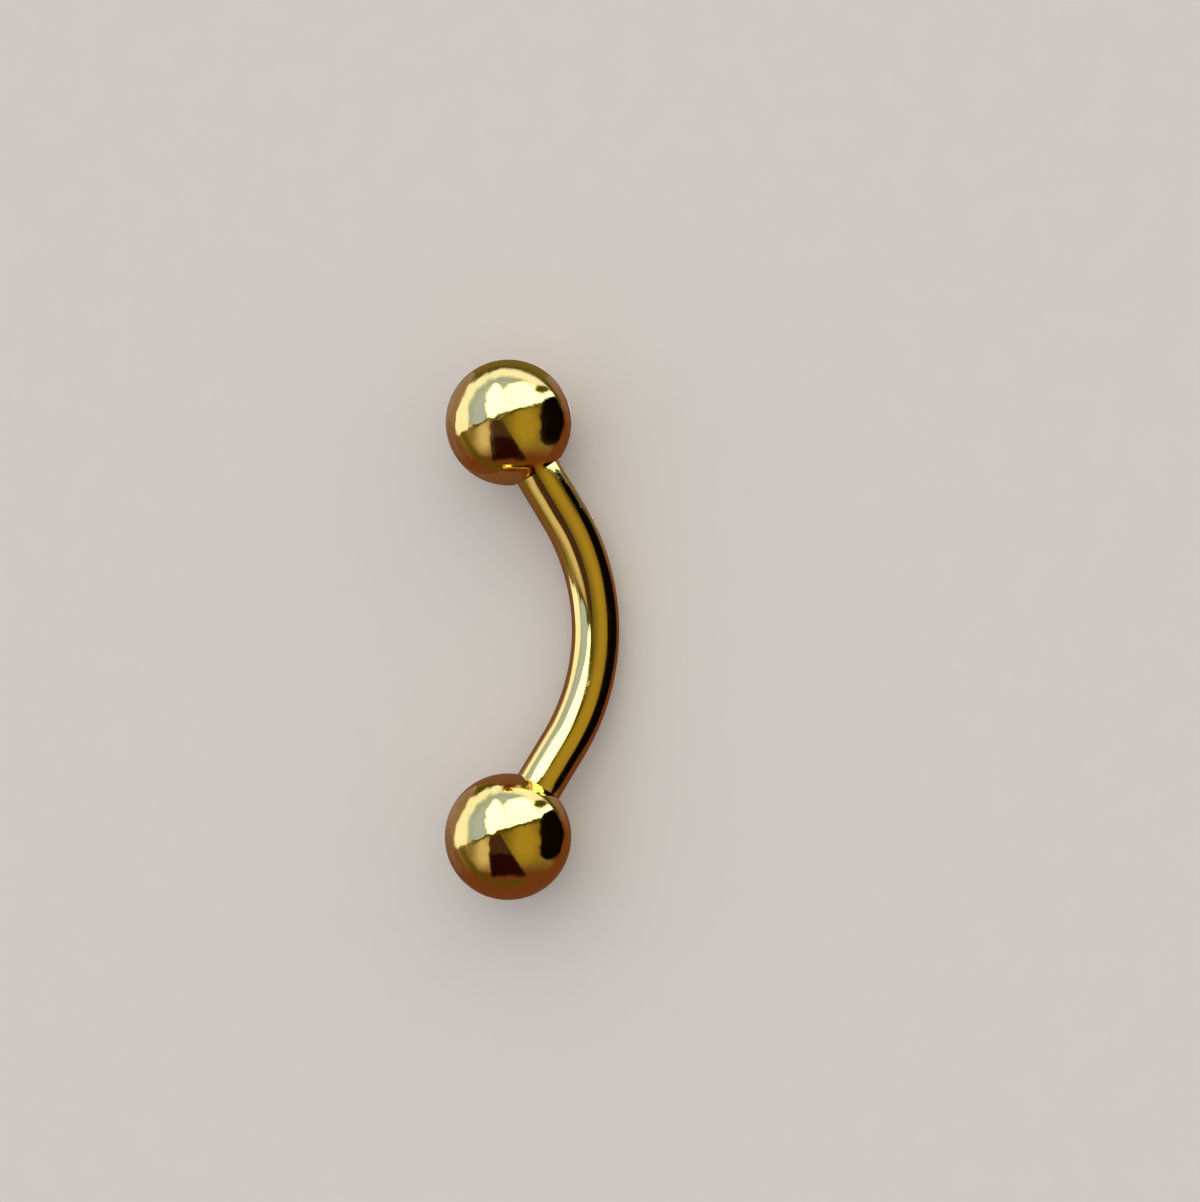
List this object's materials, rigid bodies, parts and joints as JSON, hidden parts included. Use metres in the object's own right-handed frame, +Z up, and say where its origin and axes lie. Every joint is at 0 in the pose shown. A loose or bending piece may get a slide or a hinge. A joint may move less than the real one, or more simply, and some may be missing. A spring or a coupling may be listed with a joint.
{
  "type": "curved eyebrow barbell",
  "caption": "Curved body-piercing barbell: a bent polished bar with a ball screwed on to each threaded end, lying on its side.",
  "frame": {"origin": "the middle of the table area that the resting barbell covers, at table height", "axes": "+Y along the line between the balls, from ball_lower to ball_upper; +X towards the outside of the bow; +Z up from the table"},
  "size_m": [0.0042, 0.0136, 0.0032],
  "materials": {
    "polished_gold": "mirror-polished gold colour with fine wear scratches"
  },
  "bodies": {
    "bar": {"curved_bar": "polished_gold"},
    "upper_ball": {"ball_upper": "polished_gold"},
    "lower_ball": {"ball_lower": "polished_gold"}
  },
  "joints": [
    {"name": "upper_ball_off", "type": "slide", "parent": "bar", "child": "upper_ball", "axis": [-0.4692, 0.8526, 0.2299], "range_m": [0, 0.003]},
    {"name": "lower_ball_off", "type": "slide", "parent": "bar", "child": "lower_ball", "axis": [-0.4692, -0.8526, 0.2299], "range_m": [0, 0.003]}
  ]
}
